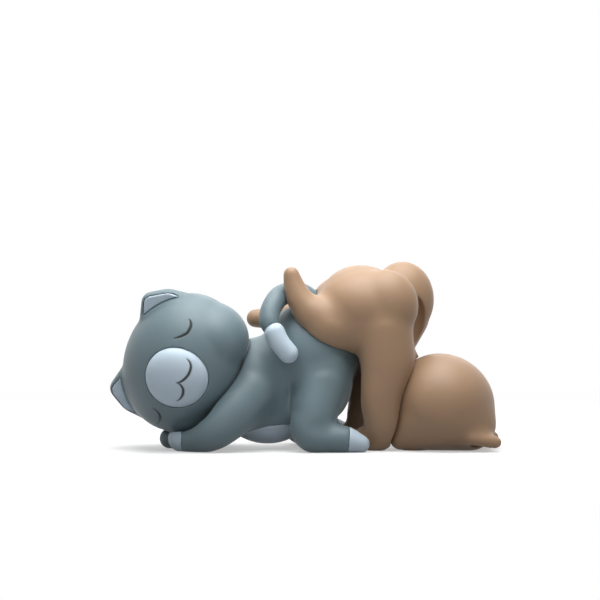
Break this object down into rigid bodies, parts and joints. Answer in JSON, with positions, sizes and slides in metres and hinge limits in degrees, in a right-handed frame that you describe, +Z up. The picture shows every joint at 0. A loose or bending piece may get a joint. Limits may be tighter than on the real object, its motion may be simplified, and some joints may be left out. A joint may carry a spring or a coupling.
{
  "type": "cat figurine pair",
  "caption": "Two sleeping vinyl cats, a brown one draped over the rump of a grey one, with heads that turn on their necks and a brown cat that lifts off.",
  "frame": {"origin": "middle of the toy's outline, on the table it rests on", "axes": "+X from the grey cat's head to the brown cat's head, -Y towards the viewer of the faces, +Z up"},
  "size_m": [0.2032, 0.0908, 0.0961],
  "materials": {
    "slate_vinyl": "matte",
    "pale_blue_vinyl": "matte",
    "tan_vinyl": "matte",
    "light_tan_vinyl": "matte",
    "natural_acetal": "satin"
  },
  "bodies": {
    "grey_cat": {"grey_body": "slate_vinyl", "grey_neck_spool": "natural_acetal", "grey_near_paw": "pale_blue_vinyl", "grey_near_toe": "pale_blue_vinyl", "grey_far_toe": "pale_blue_vinyl", "grey_tail": "slate_vinyl", "grey_tail_tip": "pale_blue_vinyl", "grey_belly_panel": "pale_blue_vinyl"},
    "grey_turning_head": {"grey_head": "slate_vinyl", "grey_muzzle": "pale_blue_vinyl", "grey_left_ear_lining": "pale_blue_vinyl", "grey_right_ear_lining": "pale_blue_vinyl"},
    "brown_cat": {"brown_body": "tan_vinyl", "brown_neck_spool": "natural_acetal", "brown_tail": "tan_vinyl"},
    "brown_turning_head": {"brown_head": "tan_vinyl", "brown_muzzle": "light_tan_vinyl", "brown_left_ear_lining": "light_tan_vinyl", "brown_right_ear_lining": "light_tan_vinyl"}
  },
  "joints": [
    {"name": "grey_head_turn", "type": "hinge", "parent": "grey_cat", "child": "grey_turning_head", "pos_m": [-0.03638, -0.00984, 0.03549], "axis": [-0.9397, 0, 0.342], "range_deg": [-25, 25]},
    {"name": "brown_lift_off", "type": "slide", "parent": "grey_cat", "child": "brown_cat", "axis": [0.5, 0, 0.866], "range_m": [0, 0.08]},
    {"name": "brown_head_turn", "type": "hinge", "parent": "brown_cat", "child": "brown_turning_head", "pos_m": [0.05126, -0.0114, 0.03784], "axis": [0.8478, 0.0222, -0.5299], "range_deg": [-6, 6]}
  ]
}
